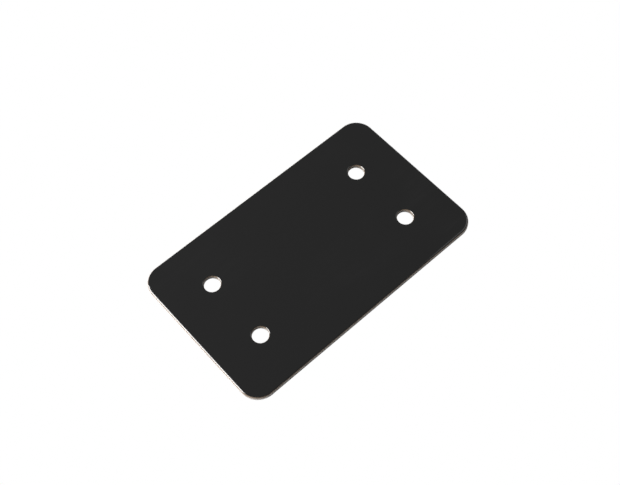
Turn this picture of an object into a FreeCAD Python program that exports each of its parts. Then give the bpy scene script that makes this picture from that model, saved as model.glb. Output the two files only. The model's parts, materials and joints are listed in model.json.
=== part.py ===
import FreeCAD, Part
import math
import os

# Kick plate: one flat rectangular plate of gloss black sheet, with rounded corners, softened edges
# and four plain round through holes for fixing it down.
#
# Frame: +X runs along the plate's length, +Y across its width and +Z up through its thickness.
# The origin is the centre of the bottom face, which lies flat against whatever the plate covers.
# Every length is in millimetres.

# Driving dimensions
LENGTH = 150.0
WIDTH = 90.0
THICKNESS = 2.5
CORNER_RADIUS = 10.5
HOLE_DIAMETER = 8.5
HOLE_SPACING_X = 98.5
HOLE_SPACING_Y = 37.0

# Radii that take the sharpness off the edges: generous on the show face, barely there underneath
OUTLINE_TOP_EASE = 1.2
RIM_TOP_EASE = 0.8
UNDERSIDE_EASE = 0.2

# Slack used when picking edges by where they lie
PICK_TOLERANCE = 0.01


def hole_centres():
    """Centres of the four fixing holes, at the corners of a rectangle about the origin."""
    centres = []
    for side_x in (-1, 1):
        for side_y in (-1, 1):
            centres.append((side_x * HOLE_SPACING_X / 2, side_y * HOLE_SPACING_Y / 2))
    return centres


def rounded_blank():
    """The sheet before drilling: a rectangle with its four upright corner edges rounded."""
    corner = FreeCAD.Vector(-LENGTH / 2, -WIDTH / 2, 0)
    sheet = Part.makeBox(LENGTH, WIDTH, THICKNESS, corner)
    uprights = [edge for edge in sheet.Edges if edge.BoundBox.ZLength > THICKNESS / 2]
    return sheet.makeFillet(CORNER_RADIUS, uprights)


def drilled(sheet):
    """The sheet with the four fixing holes taken straight through it."""
    for x, y in hole_centres():
        start = FreeCAD.Vector(x, y, -THICKNESS)
        bore = Part.makeCylinder(HOLE_DIAMETER / 2, 3 * THICKNESS, start)
        sheet = sheet.cut(bore)
    return sheet


def lies_flat(edge, height):
    """True for an edge that lies wholly in the level plane at this height."""
    box = edge.BoundBox
    starts_there = abs(box.ZMin - height) < PICK_TOLERANCE
    return starts_there and abs(box.ZMax - height) < PICK_TOLERANCE


def is_hole_rim(edge):
    """True for an edge that goes round one of the fixing holes."""
    centre = edge.BoundBox.Center
    return any(math.hypot(centre.x - x, centre.y - y) < PICK_TOLERANCE for x, y in hole_centres())


def eased(sheet, height, outline_radius, rim_radius):
    """The sheet with the outline and the hole rims at this height rounded over."""
    level = [edge for edge in sheet.Edges if lies_flat(edge, height)]
    sheet = sheet.makeFillet(outline_radius, [edge for edge in level if not is_hole_rim(edge)])
    rims = [edge for edge in sheet.Edges if lies_flat(edge, height) and is_hole_rim(edge)]
    return sheet.makeFillet(rim_radius, rims)


def kick_plate():
    """The whole plate, finished on both faces."""
    plate = drilled(rounded_blank())
    plate = eased(plate, THICKNESS, OUTLINE_TOP_EASE, RIM_TOP_EASE)
    return eased(plate, 0, UNDERSIDE_EASE, UNDERSIDE_EASE)


def export(node, shape):
    """Write one sub-part as one valid solid."""
    if len(shape.Solids) != 1 or not shape.isValid():
        raise ValueError(node + " is not one valid solid")
    shape.Solids[0].exportStep("parts/" + node + ".step")


os.makedirs("parts", exist_ok=True)
export("kick_plate", kick_plate())
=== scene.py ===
import json
import math

import bmesh
import bpy
from mathutils import Euler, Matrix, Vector


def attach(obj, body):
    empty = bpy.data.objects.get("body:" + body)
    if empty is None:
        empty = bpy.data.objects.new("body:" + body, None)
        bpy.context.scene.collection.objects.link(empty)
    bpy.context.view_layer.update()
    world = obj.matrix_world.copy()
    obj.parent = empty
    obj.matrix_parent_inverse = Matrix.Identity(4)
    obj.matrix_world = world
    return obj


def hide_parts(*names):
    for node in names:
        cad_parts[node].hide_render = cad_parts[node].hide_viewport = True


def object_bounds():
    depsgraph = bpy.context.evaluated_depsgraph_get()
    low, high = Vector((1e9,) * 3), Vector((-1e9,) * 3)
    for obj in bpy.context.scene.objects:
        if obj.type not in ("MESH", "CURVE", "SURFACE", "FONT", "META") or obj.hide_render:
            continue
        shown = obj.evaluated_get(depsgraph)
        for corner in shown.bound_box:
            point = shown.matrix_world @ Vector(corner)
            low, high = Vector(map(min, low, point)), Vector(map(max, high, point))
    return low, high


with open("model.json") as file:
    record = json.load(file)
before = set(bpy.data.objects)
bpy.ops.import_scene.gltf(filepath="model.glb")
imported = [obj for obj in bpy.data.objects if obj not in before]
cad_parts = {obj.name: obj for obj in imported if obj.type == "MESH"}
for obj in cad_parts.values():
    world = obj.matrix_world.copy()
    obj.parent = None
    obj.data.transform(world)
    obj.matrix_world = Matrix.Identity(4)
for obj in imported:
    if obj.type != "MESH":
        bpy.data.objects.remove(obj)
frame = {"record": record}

bl_info = {
    "name": "Kick plate",
    "version": (1, 0, 0),
    "blender": (4, 5, 0),
    "location": "3D View > Sidebar > Kick plate",
    "description": "Makes a gloss black kick plate and the plain studio it lies in",
    "category": "Object",
}

CAD_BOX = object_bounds()
CAD_LENGTH, CAD_WIDTH, CAD_THICKNESS = CAD_BOX[1] - CAD_BOX[0]
MM = 0.001


def mount_dims(name):
    """The dimensions that the record states for one of the plate's mounts, in millimetres."""
    for mount in frame["record"]["mounts"]:
        if mount["name"] == name:
            return mount["dims"]
    raise ValueError("no mount called " + name)


HOLES = mount_dims("fixing_holes")

# How finely the round stretches and the straight sides are cut up
CORNER_STEPS = 32
HOLE_STEPS = 96
TOP_EASE_STEPS = 12
UNDERSIDE_EASE_STEPS = 4
SIDE_STEPS = 30


class PlateSizes(bpy.types.PropertyGroup):
    """Sizes of the plate."""

    length: bpy.props.FloatProperty(
        name="Length", description="Along X", default=CAD_LENGTH, unit="LENGTH", subtype="DISTANCE"
    )
    width: bpy.props.FloatProperty(
        name="Width", description="Along Y", default=CAD_WIDTH, unit="LENGTH", subtype="DISTANCE"
    )
    thickness: bpy.props.FloatProperty(
        name="Thickness",
        description="Along Z, from the back to the show face",
        default=CAD_THICKNESS,
        unit="LENGTH",
        subtype="DISTANCE",
    )
    corner_radius: bpy.props.FloatProperty(
        name="Corner radius",
        description="Radius of the four corners, seen from above",
        default=10.5 * MM,
        unit="LENGTH",
        subtype="DISTANCE",
    )
    hole_diameter: bpy.props.FloatProperty(
        name="Hole diameter",
        description="Bore of each fixing hole",
        default=2 * HOLES["hole_r_mm"] * MM,
        unit="LENGTH",
        subtype="DISTANCE",
    )
    hole_spacing_x: bpy.props.FloatProperty(
        name="Hole spacing X",
        description="Between hole centres, along the length",
        default=HOLES["spacing_x_mm"] * MM,
        unit="LENGTH",
        subtype="DISTANCE",
    )
    hole_spacing_y: bpy.props.FloatProperty(
        name="Hole spacing Y",
        description="Between hole centres, across the width",
        default=HOLES["spacing_y_mm"] * MM,
        unit="LENGTH",
        subtype="DISTANCE",
    )
    outline_ease: bpy.props.FloatProperty(
        name="Outline ease",
        description="Radius rolled over the outline on the show face",
        default=1.2 * MM,
        unit="LENGTH",
        subtype="DISTANCE",
    )
    rim_ease: bpy.props.FloatProperty(
        name="Rim ease",
        description="Radius rolled over each hole's rim on the show face",
        default=0.8 * MM,
        unit="LENGTH",
        subtype="DISTANCE",
    )
    underside_ease: bpy.props.FloatProperty(
        name="Underside ease",
        description="Radius on every edge of the back face",
        default=0.2 * MM,
        unit="LENGTH",
        subtype="DISTANCE",
    )


class CoatFinish(bpy.types.PropertyGroup):
    """Colours and gloss of the plate's black coat."""

    black: bpy.props.FloatVectorProperty(
        name="Black",
        description="The coat's own colour on the show face",
        default=(0.0034, 0.0034, 0.0034),
        subtype="COLOR",
    )
    # Edge brown is painted warm reflection, laid into the sides' own colour
    edge_painted_reflection_brown: bpy.props.FloatVectorProperty(
        name="Edge brown",
        description="The thin coat on the cut edges",
        default=(0.056, 0.042, 0.031),
        subtype="COLOR",
    )
    # Bore brown is a darker painted warm reflection, laid into the bores' own colour
    bore_painted_reflection_brown: bpy.props.FloatVectorProperty(
        name="Bore brown",
        description="The still thinner coat in the bores",
        default=(0.046, 0.033, 0.022),
        subtype="COLOR",
    )
    dust: bpy.props.FloatVectorProperty(
        name="Dust",
        description="Colour of the specks that settle on the coat",
        default=(0.16, 0.155, 0.148),
        subtype="COLOR",
    )
    gloss_roughness: bpy.props.FloatProperty(
        name="Gloss roughness",
        description="Roughness of the clean show face",
        default=0.07,
        subtype="FACTOR",
    )
    haze_roughness: bpy.props.FloatProperty(
        name="Haze roughness",
        description="How much rougher the face is where it has been handled",
        default=0.10,
        subtype="FACTOR",
    )


class StudioSetup(bpy.types.PropertyGroup):
    """Floor, light and camera."""

    floor_size: bpy.props.FloatProperty(
        name="Floor size",
        description="Side of the square floor",
        default=6.0,
        unit="LENGTH",
        subtype="DISTANCE",
    )
    floor_white: bpy.props.FloatVectorProperty(
        name="Floor white",
        description="Colour of the floor",
        default=(0.80, 0.80, 0.80),
        subtype="COLOR",
    )
    key_power: bpy.props.FloatProperty(
        name="Key light",
        description="Power of the low soft light beside the plate's left end",
        default=56.0,
        unit="POWER",
    )
    fill_power: bpy.props.FloatProperty(
        name="Fill light",
        description="Power of the dim high light beside the plate's right end",
        default=2.0,
        unit="POWER",
    )
    lens: bpy.props.FloatProperty(
        name="Lens", description="Focal length on a 36 mm sensor, in millimetres", default=58.47
    )


# ---------------------------------------------------------------- shared shader node groups


def new_group(name, inputs, outputs):
    """An empty shader node group. Each input is (name, kind, default) and each output (name, kind)."""
    group = bpy.data.node_groups.new(name, "ShaderNodeTree")
    for label, kind, default in inputs:
        socket = group.interface.new_socket(label, in_out="INPUT", socket_type=kind)
        socket.default_value = default
    for label, kind in outputs:
        group.interface.new_socket(label, in_out="OUTPUT", socket_type=kind)
    return group


def add_node(tree, kind, **settings):
    """A node of this kind with these settings, added to the tree."""
    made = tree.nodes.new(kind)
    for key, value in settings.items():
        setattr(made, key, value)
    return made


def object_point(tree):
    """The socket that gives each point's place on the plate, in metres."""
    return add_node(tree, "ShaderNodeTexCoord").outputs["Object"]


def map_range(tree, value, low, high, to_low=0.0, to_high=1.0):
    """The socket of value carried from low..high to to_low..to_high, held at both ends."""
    carried = add_node(tree, "ShaderNodeMapRange", interpolation_type="SMOOTHSTEP")
    tree.links.new(value, carried.inputs["Value"])
    for label, number in (("From Min", low), ("From Max", high), ("To Min", to_low), ("To Max", to_high)):
        if hasattr(number, "is_linked"):
            tree.links.new(number, carried.inputs[label])
        else:
            carried.inputs[label].default_value = number
    return carried.outputs["Result"]


def times(tree, first, second):
    """The socket of two sockets' values multiplied."""
    product = add_node(tree, "ShaderNodeMath", operation="MULTIPLY")
    tree.links.new(first, product.inputs[0])
    tree.links.new(second, product.inputs[1])
    return product.outputs[0]


def settled_dust_group():
    """Sparse tiny specks: one possible speck in each cell, kept only in a few cells."""
    group = new_group(
        "Settled dust",
        [
            ("Cells per Metre", "NodeSocketFloat", 90.0),
            ("Speck Size", "NodeSocketFloat", 0.02),
            ("Share of Cells", "NodeSocketFloat", 0.06),
        ],
        [("Mask", "NodeSocketFloat")],
    )
    given = add_node(group, "NodeGroupInput")
    result = add_node(group, "NodeGroupOutput")
    cells = add_node(group, "ShaderNodeTexVoronoi", feature="F1")
    group.links.new(object_point(group), cells.inputs["Vector"])
    group.links.new(given.outputs["Cells per Metre"], cells.inputs["Scale"])
    speck = map_range(group, cells.outputs["Distance"], given.outputs["Speck Size"], 0.0)
    draw = add_node(group, "ShaderNodeSeparateColor")
    group.links.new(cells.outputs["Color"], draw.inputs["Color"])
    chosen = add_node(group, "ShaderNodeMath", operation="LESS_THAN")
    group.links.new(draw.outputs["Red"], chosen.inputs[0])
    group.links.new(given.outputs["Share of Cells"], chosen.inputs[1])
    group.links.new(times(group, speck, chosen.outputs[0]), result.inputs["Mask"])
    return group


# The way the cloth went, how far its strokes are drawn out, the noise levels between which a patch
# or a stroke comes in, and how much is left of the haze between strokes
WIPE_DIRECTION = math.radians(24)
WIPE_SQUEEZE = 0.08
PATCH_LEVELS = (0.45, 0.75)
STROKE_LEVELS = (0.35, 0.7)
FAINTEST_STROKE = 0.35


def handling_haze_group():
    """Faint cloudy patches where hands and cloths have dulled the gloss."""
    group = new_group(
        "Handling haze",
        [
            ("Patches per Metre", "NodeSocketFloat", 22.0),
            ("Wipes per Metre", "NodeSocketFloat", 260.0),
        ],
        [("Mask", "NodeSocketFloat")],
    )
    given = add_node(group, "NodeGroupInput")
    result = add_node(group, "NodeGroupOutput")
    place = object_point(group)
    patches = add_node(group, "ShaderNodeTexNoise")
    patches.inputs["Detail"].default_value = 3.0
    group.links.new(place, patches.inputs["Vector"])
    group.links.new(given.outputs["Patches per Metre"], patches.inputs["Scale"])
    stretched = add_node(group, "ShaderNodeMapping")
    stretched.inputs["Rotation"].default_value = (0.0, 0.0, WIPE_DIRECTION)
    stretched.inputs["Scale"].default_value = (WIPE_SQUEEZE, 1.0, 1.0)
    group.links.new(place, stretched.inputs["Vector"])
    wipes = add_node(group, "ShaderNodeTexNoise")
    wipes.inputs["Detail"].default_value = 4.0
    group.links.new(stretched.outputs["Vector"], wipes.inputs["Vector"])
    group.links.new(given.outputs["Wipes per Metre"], wipes.inputs["Scale"])
    cloudy = map_range(group, patches.outputs["Fac"], *PATCH_LEVELS)
    streaky = map_range(group, wipes.outputs["Fac"], *STROKE_LEVELS, FAINTEST_STROKE, 1.0)
    group.links.new(times(group, cloudy, streaky), result.inputs["Mask"])
    return group


def coat_ripple_group():
    """The gentle ripple that a sprayed coat dries with, as a height."""
    group = new_group(
        "Coat ripple",
        [("Ripples per Metre", "NodeSocketFloat", 420.0)],
        [("Height", "NodeSocketFloat")],
    )
    given = add_node(group, "NodeGroupInput")
    result = add_node(group, "NodeGroupOutput")
    ripple = add_node(group, "ShaderNodeTexNoise")
    ripple.inputs["Detail"].default_value = 1.5
    ripple.inputs["Roughness"].default_value = 0.35
    group.links.new(object_point(group), ripple.inputs["Vector"])
    group.links.new(given.outputs["Ripples per Metre"], ripple.inputs["Scale"])
    group.links.new(ripple.outputs["Fac"], result.inputs["Height"])
    return group


def place_group(tree, group, **values):
    """A node that uses the group in a material, with this material's own values."""
    made = add_node(tree, "ShaderNodeGroup", node_tree=group)
    for label, value in values.items():
        made.inputs[label.replace("_", " ")].default_value = value
    return made


# ---------------------------------------------------------------- materials


def blank_material(name):
    """A material with a Principled shader and nothing else. Gives the material, tree and shader."""
    material = bpy.data.materials.new(name)
    material.use_nodes = True
    tree = material.node_tree
    return material, tree, tree.nodes["Principled BSDF"]


def mix_colour(tree, factor, first, second):
    """The socket of a colour that goes from first to second with the factor."""
    mixed = add_node(tree, "ShaderNodeMix", data_type="RGBA")
    tree.links.new(factor, mixed.inputs["Factor"])
    for label, colour in (("A", first), ("B", second)):
        socket = next(s for s in mixed.inputs if s.name == label and s.type == "RGBA")
        if hasattr(colour, "is_linked"):
            tree.links.new(colour, socket)
        else:
            socket.default_value = (*colour, 1.0)
    return next(s for s in mixed.outputs if s.type == "RGBA")


def bumped(tree, height, distance, strength):
    """The socket of a normal disturbed by this height."""
    bump = add_node(tree, "ShaderNodeBump")
    bump.inputs["Distance"].default_value = distance
    bump.inputs["Strength"].default_value = strength
    tree.links.new(height, bump.inputs["Height"])
    return bump.outputs["Normal"]


# How strongly the show face and the brown sides and bores mirror
FACE_SPECULAR = 0.26
BROWN_EDGE_SPECULAR = 0.36
# Roughness where the coat is clean and where it is hazy
BROWN_EDGE_ROUGHNESS = (0.12, 0.22)
BACK_ROUGHNESS = (0.28, 0.46)
# How much lighter or darker the haze leaves each coat
FACE_HAZE_TINT = 1.12
BROWN_EDGE_HAZE_TINT = 0.8
BACK_HAZE_TINT = 2.2
# The sprayed ripple's depth in metres, and its strength
FACE_RIPPLE = (0.00002, 0.25)
BROWN_EDGE_RIPPLE = (0.00002, 0.4)
BACK_RIPPLE = (0.00003, 0.5)


def tinted(colour, tint):
    """The colour made lighter or darker by this factor."""
    return [tint * part for part in colour]


def spread_coat(tree, shader, effects, colours, roughness, ripple):
    """Feed a shader its colour, roughness and ripple.

    The effects are the placed dust, haze and ripple groups. The colours are the clean coat's, the
    hazy coat's and the dust's, and the roughness is the clean coat's and the hazy coat's.
    """
    dust, haze, sprayed = effects
    clean, hazy, specks = colours
    shade = mix_colour(tree, haze.outputs["Mask"], clean, hazy)
    tree.links.new(mix_colour(tree, dust.outputs["Mask"], shade, specks), shader.inputs["Base Color"])
    rough = map_range(tree, haze.outputs["Mask"], 0.0, 1.0, *roughness)
    tree.links.new(rough, shader.inputs["Roughness"])
    tree.links.new(bumped(tree, sprayed.outputs["Height"], *ripple), shader.inputs["Normal"])


def show_face_material(finish, groups):
    """Deep gloss black: near mirror, with faint handling haze, a sprayed ripple and a few specks."""
    material, tree, shader = blank_material("gloss_black_face")
    shader.inputs["Specular IOR Level"].default_value = FACE_SPECULAR
    effects = [place_group(tree, groups[name]) for name in ("dust", "haze", "ripple")]
    colours = (finish.black, tinted(finish.black, FACE_HAZE_TINT), finish.dust)
    roughness = (finish.gloss_roughness, finish.gloss_roughness + finish.haze_roughness)
    spread_coat(tree, shader, effects, colours, roughness, FACE_RIPPLE)
    return material


def painted_reflection_edge_material(name, brown, finish, groups):
    """A cut side or a bore, brown all over; the brown is painted warm reflection."""
    material, tree, shader = blank_material(name)
    shader.inputs["Specular IOR Level"].default_value = BROWN_EDGE_SPECULAR
    effects = (
        place_group(tree, groups["dust"], Cells_per_Metre=400.0, Share_of_Cells=0.03),
        place_group(tree, groups["haze"], Patches_per_Metre=120.0),
        place_group(tree, groups["ripple"], Ripples_per_Metre=900.0),
    )
    colours = (brown, tinted(brown, BROWN_EDGE_HAZE_TINT), finish.dust)
    spread_coat(tree, shader, effects, colours, BROWN_EDGE_ROUGHNESS, BROWN_EDGE_RIPPLE)
    return material


def cut_edge_material(finish, groups):
    """The plate's sides."""
    return painted_reflection_edge_material("brown_edge_painted_reflection", finish.edge_painted_reflection_brown, finish, groups)


def bore_material(finish, groups):
    """The fixing holes' walls."""
    # The bores' darker brown is painted warm reflection
    return painted_reflection_edge_material("brown_bore_painted_reflection", finish.bore_painted_reflection_brown, finish, groups)


def back_material(finish, groups):
    """The back face: the same black, laid on thinner and rubbed to a satin."""
    material, tree, shader = blank_material("satin_black_back")
    effects = (
        place_group(tree, groups["dust"], Cells_per_Metre=160.0, Share_of_Cells=0.10),
        place_group(tree, groups["haze"], Wipes_per_Metre=500.0),
        place_group(tree, groups["ripple"], Ripples_per_Metre=700.0),
    )
    colours = (finish.black, tinted(finish.black, BACK_HAZE_TINT), finish.dust)
    spread_coat(tree, shader, effects, colours, BACK_ROUGHNESS, BACK_RIPPLE)
    return material


# ---------------------------------------------------------------- the plate's mesh


def outline_path(sizes):
    """The plate's outline, anticlockwise from above, as (point, direction out of the material)."""
    radius = sizes.corner_radius
    corner_x = sizes.length / 2 - radius
    corner_y = sizes.width / 2 - radius
    path = []
    for quarter, (side_x, side_y) in enumerate(((1, 1), (-1, 1), (-1, -1), (1, -1))):
        for step in range(CORNER_STEPS + 1):
            turn = math.radians(90) * (quarter + step / CORNER_STEPS)
            out = Vector((math.cos(turn), math.sin(turn)))
            path.append((Vector((side_x * corner_x, side_y * corner_y)) + radius * out, out))
        end, out = path[-1]
        along = Vector((-out.y, out.x))
        run = 2 * (corner_x if abs(along.x) > abs(along.y) else corner_y)
        for step in range(1, SIDE_STEPS):
            path.append((end + along * run * step / SIDE_STEPS, out))
    return path


def hole_path(centre, radius):
    """One hole's wall, clockwise from above, as (point, direction out of the material)."""
    path = []
    for step in range(HOLE_STEPS):
        turn = -math.tau * step / HOLE_STEPS
        spoke = Vector((math.cos(turn), math.sin(turn)))
        path.append((centre + radius * spoke, -spoke))
    return path


def edge_profile(thickness, top_ease, underside_ease):
    """A wall from the back face up to the show face, as (inset, height, tilt of the surface)."""
    profile = []
    for step in range(UNDERSIDE_EASE_STEPS + 1):
        tilt = math.radians(90) * (step / UNDERSIDE_EASE_STEPS - 1)
        profile.append((underside_ease * (1 - math.cos(tilt)), underside_ease * (1 + math.sin(tilt)), tilt))
    for step in range(TOP_EASE_STEPS + 1):
        tilt = math.radians(90) * step / TOP_EASE_STEPS
        profile.append((top_ease * (1 - math.cos(tilt)), thickness - top_ease * (1 - math.sin(tilt)), tilt))
    return profile


# The plate's materials, in the order in which they are added
FACE_SLOT, EDGE_SLOT, BORE_SLOT, BACK_SLOT = range(4)
# How far up each eased edge the brown side and bore material, with its painted warm reflection, reaches, as
# the surface's tilt
BROWN_EDGE_TILT = math.radians(58)


def band_slot(low_tilt, high_tilt, wall_slot):
    """The finish of a band of wall that tilts between these two angles."""
    if low_tilt < 0:
        return BACK_SLOT
    if high_tilt <= BROWN_EDGE_TILT:
        return wall_slot
    return FACE_SLOT


def add_wall(bm, normals, path, profile, wall_slot):
    """Sweep the profile along a closed path. Gives the edges of the lowest and highest rings."""
    rings = []
    for inset, height, tilt in profile:
        ring = []
        for point, out in path:
            place = point - out * inset
            ring.append(bm.verts.new((place.x, place.y, height)))
            normals.append(Vector((*(out * math.cos(tilt)), math.sin(tilt))))
        rings.append(ring)
    count = len(path)
    for level in range(len(rings) - 1):
        slot = band_slot(profile[level][2], profile[level + 1][2], wall_slot)
        low, high = rings[level], rings[level + 1]
        for here in range(count):
            there = (here + 1) % count
            face = bm.faces.new((low[here], low[there], high[there], high[here]))
            face.material_index = slot
    ends = []
    for ring in (rings[0], rings[-1]):
        ends.append([bm.edges.get((ring[i], ring[(i + 1) % count])) for i in range(count)])
    return ends


def cap(bm, edges, slot, upward):
    """Close one flat face of the plate between its outline and its hole rims."""
    filled = bmesh.ops.triangle_fill(bm, use_beauty=True, use_dissolve=False, edges=edges)
    for item in filled["geom"]:
        if isinstance(item, bmesh.types.BMFace):
            item.material_index = slot
            item.normal_update()
            if (item.normal.z > 0) != upward:
                item.normal_flip()


def plate_mesh(sizes):
    """The whole plate as one closed mesh, with exact normals on its eased edges."""
    bm = bmesh.new()
    normals = []
    outline_profile = edge_profile(sizes.thickness, sizes.outline_ease, sizes.underside_ease)
    rim_profile = edge_profile(sizes.thickness, sizes.rim_ease, sizes.underside_ease)
    outline = outline_path(sizes)
    low_edges, high_edges = add_wall(bm, normals, outline, outline_profile, EDGE_SLOT)
    for side_x in (-1, 1):
        for side_y in (-1, 1):
            centre = Vector((side_x * sizes.hole_spacing_x / 2, side_y * sizes.hole_spacing_y / 2))
            path = hole_path(centre, sizes.hole_diameter / 2)
            low, high = add_wall(bm, normals, path, rim_profile, BORE_SLOT)
            low_edges += low
            high_edges += high
    cap(bm, low_edges, BACK_SLOT, False)
    cap(bm, high_edges, FACE_SLOT, True)
    mesh = bpy.data.meshes.new("kick_plate_body")
    bm.to_mesh(mesh)
    bm.free()
    mesh.shade_smooth()
    mesh.normals_split_custom_set_from_vertices(normals)
    return mesh


# ---------------------------------------------------------------- operators


class OBJECT_OT_kick_plate_body(bpy.types.Operator):
    """Make the gloss black plate with its four fixing holes"""

    bl_idname = "object.kick_plate_body"
    bl_label = "Kick plate body"

    def execute(self, context):
        sizes = context.scene.kick_plate_sizes
        finish = context.scene.kick_plate_finish
        groups = {"dust": settled_dust_group(), "haze": handling_haze_group(), "ripple": coat_ripple_group()}
        plate = bpy.data.objects.new("kick_plate_body", plate_mesh(sizes))
        context.scene.collection.objects.link(plate)
        for make in (show_face_material, cut_edge_material, bore_material, back_material):
            plate.data.materials.append(make(finish, groups))
        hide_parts("kick_plate")
        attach(plate, "root")
        return {"FINISHED"}


# The camera's aim on the show face, its distance, and the way it is turned
CAMERA_AIM = Vector((2.68 * MM, 3.22 * MM))
CAMERA_DISTANCE = 513.13 * MM
CAMERA_AZIMUTH = math.radians(-40.959)
CAMERA_ELEVATION = math.radians(61.149)
CAMERA_ROLL = math.radians(-1.086)

# The surround's colour where it is looked at directly, and where the gloss mirrors it
SURROUND_SEEN = (1.0, 1.0, 1.0)
SURROUND_MIRRORED = (0.46, 0.46, 0.46)

# How far the floor lies below the plate's back
FLOOR_DROP = 0.05 * MM

# The two soft lights: centre and size in metres
KEY_PLACE = (-0.678, 0.441, 0.395)
KEY_SIZE = (0.73, 0.69)
FILL_PLACE = (0.609, -0.075, 0.658)
FILL_SIZE = (0.35, 0.55)


def white_floor(studio):
    """A plain white floor. Seen directly it is even white, so that no shadow shows on it."""
    mesh = bpy.data.meshes.new("floor")
    half = studio.floor_size / 2
    corners = [(-half, -half), (half, -half), (half, half), (-half, half)]
    mesh.from_pydata([(x, y, 0.0) for x, y in corners], [], [range(4)])
    floor = bpy.data.objects.new("floor", mesh)
    floor.location.z = -FLOOR_DROP
    material, tree, shader = blank_material("floor_white")
    shader.inputs["Base Color"].default_value = (*studio.floor_white, 1.0)
    shader.inputs["Roughness"].default_value = 0.9
    shader.inputs["Specular IOR Level"].default_value = 0.0
    white = add_node(tree, "ShaderNodeEmission")
    white.inputs["Color"].default_value = (*SURROUND_SEEN, 1.0)
    choose = add_node(tree, "ShaderNodeMixShader")
    tree.links.new(add_node(tree, "ShaderNodeLightPath").outputs["Is Camera Ray"], choose.inputs["Fac"])
    tree.links.new(shader.outputs["BSDF"], choose.inputs[1])
    tree.links.new(white.outputs["Emission"], choose.inputs[2])
    tree.links.new(choose.outputs["Shader"], tree.nodes["Material Output"].inputs["Surface"])
    mesh.materials.append(material)
    return floor


def soft_light(name, place, size, power):
    """A rectangular soft light at a place, turned towards the plate."""
    data = bpy.data.lights.new(name, "AREA")
    data.shape = "RECTANGLE"
    data.size, data.size_y = size
    data.energy = power
    light = bpy.data.objects.new(name, data)
    light.location = place
    light.rotation_euler = (-Vector(place)).to_track_quat("-Z", "Y").to_euler()
    light.visible_camera = False
    return light


def studio_world():
    """A white surround to look at, and a dim one for the gloss to mirror."""
    world = bpy.data.worlds.new("studio")
    world.use_nodes = True
    tree = world.node_tree
    seen = add_node(tree, "ShaderNodeLightPath").outputs["Is Camera Ray"]
    shade = mix_colour(tree, seen, SURROUND_MIRRORED, SURROUND_SEEN)
    tree.links.new(shade, tree.nodes["Background"].inputs["Color"])
    return world


def studio_camera(studio):
    """The camera above the plate's front left corner."""
    data = bpy.data.cameras.new("camera")
    data.sensor_width = 36.0
    data.lens = studio.lens
    camera = bpy.data.objects.new("camera", data)
    turn = Euler((math.radians(90) - CAMERA_ELEVATION, 0.0, CAMERA_AZIMUTH)).to_matrix()
    back = turn @ Vector((0.0, 0.0, 1.0))
    camera.location = Vector((*CAMERA_AIM, CAD_THICKNESS)) + back * CAMERA_DISTANCE
    camera.rotation_euler = (turn @ Euler((0.0, 0.0, CAMERA_ROLL)).to_matrix()).to_euler()
    return camera


class OBJECT_OT_kick_plate_stage(bpy.types.Operator):
    """Make the floor, the soft lights, the surround and the camera"""

    bl_idname = "object.kick_plate_stage"
    bl_label = "Studio stage"

    def execute(self, context):
        studio = context.scene.kick_plate_studio
        scene = context.scene
        floor = white_floor(studio)
        key = soft_light("key_light", KEY_PLACE, KEY_SIZE, studio.key_power)
        fill = soft_light("fill_light", FILL_PLACE, FILL_SIZE, studio.fill_power)
        camera = studio_camera(studio)
        for made in (floor, key, fill, camera):
            scene.collection.objects.link(made)
        scene.world = studio_world()
        scene.camera = camera
        scene.view_settings.view_transform = "Standard"
        return {"FINISHED"}


class VIEW3D_PT_kick_plate(bpy.types.Panel):
    """Sidebar panel that makes each piece"""

    bl_label = "Kick plate"
    bl_idname = "VIEW3D_PT_kick_plate"
    bl_space_type = "VIEW_3D"
    bl_region_type = "UI"
    bl_category = "Kick plate"

    def draw(self, context):
        for settings in (
            context.scene.kick_plate_sizes,
            context.scene.kick_plate_finish,
            context.scene.kick_plate_studio,
        ):
            box = self.layout.box()
            for name in settings.__annotations__:
                box.prop(settings, name)
        for operator in OPERATORS:
            self.layout.operator(operator.bl_idname)


OPERATORS = (OBJECT_OT_kick_plate_body, OBJECT_OT_kick_plate_stage)
CLASSES = (PlateSizes, CoatFinish, StudioSetup, *OPERATORS, VIEW3D_PT_kick_plate)
SETTINGS = {
    "kick_plate_sizes": PlateSizes,
    "kick_plate_finish": CoatFinish,
    "kick_plate_studio": StudioSetup,
}


def register():
    """Add the classes and the scene's settings."""
    for cls in CLASSES:
        bpy.utils.register_class(cls)
    for name, group in SETTINGS.items():
        setattr(bpy.types.Scene, name, bpy.props.PointerProperty(type=group))


def unregister():
    """Take them away again."""
    for name in SETTINGS:
        delattr(bpy.types.Scene, name)
    for cls in reversed(CLASSES):
        bpy.utils.unregister_class(cls)


def main():
    """Make everything."""
    register()
    bpy.ops.object.kick_plate_body()
    bpy.ops.object.kick_plate_stage()


if __name__ == "__main__":
    main()
